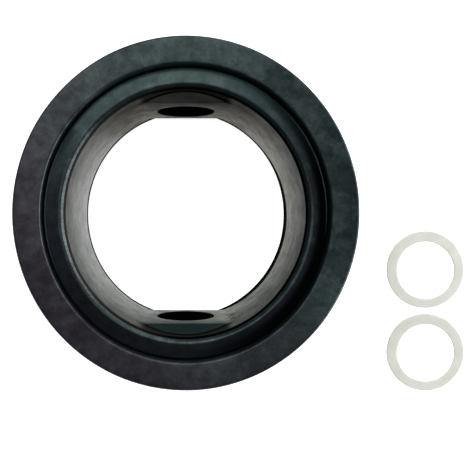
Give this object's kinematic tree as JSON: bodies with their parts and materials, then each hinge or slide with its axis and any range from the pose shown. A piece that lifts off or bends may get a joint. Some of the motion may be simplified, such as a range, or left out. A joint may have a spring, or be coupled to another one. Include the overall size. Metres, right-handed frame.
{
  "type": "butterfly valve seat kit",
  "caption": "Moulded rubber seat ring for a butterfly valve, with face grooves, sealing lips, stem bosses and stem holes, and loose flat stem washers.",
  "frame": {"origin": "on the flow bore's axis, at the seat's back face, which lies on the surface", "axes": "+Z along the bore from the back face to the front face; the stem axis is parallel to Y, with the upper stem hole at +Y; the loose washers lie on the +X side"},
  "size_m": [0.1552, 0.1175, 0.0442],
  "materials": {
    "seat_rubber": "moulded black rubber, semi-gloss, with faint dust and handling marks",
    "washer_plastic": "translucent milky plastic, cut faces, smooth"
  },
  "bodies": {
    "seat": {"valve_seat": "seat_rubber"},
    "upper_washer": {"upper_stem_washer": "washer_plastic"},
    "lower_washer": {"lower_stem_washer": "washer_plastic"}
  },
  "joints": [
    {"name": "upper_washer_lift", "type": "slide", "parent": "seat", "child": "upper_washer", "axis": [0, 0, 1], "range_m": [0, 0.06]},
    {"name": "lower_washer_lift", "type": "slide", "parent": "seat", "child": "lower_washer", "axis": [0, 0, 1], "range_m": [0, 0.06]}
  ]
}
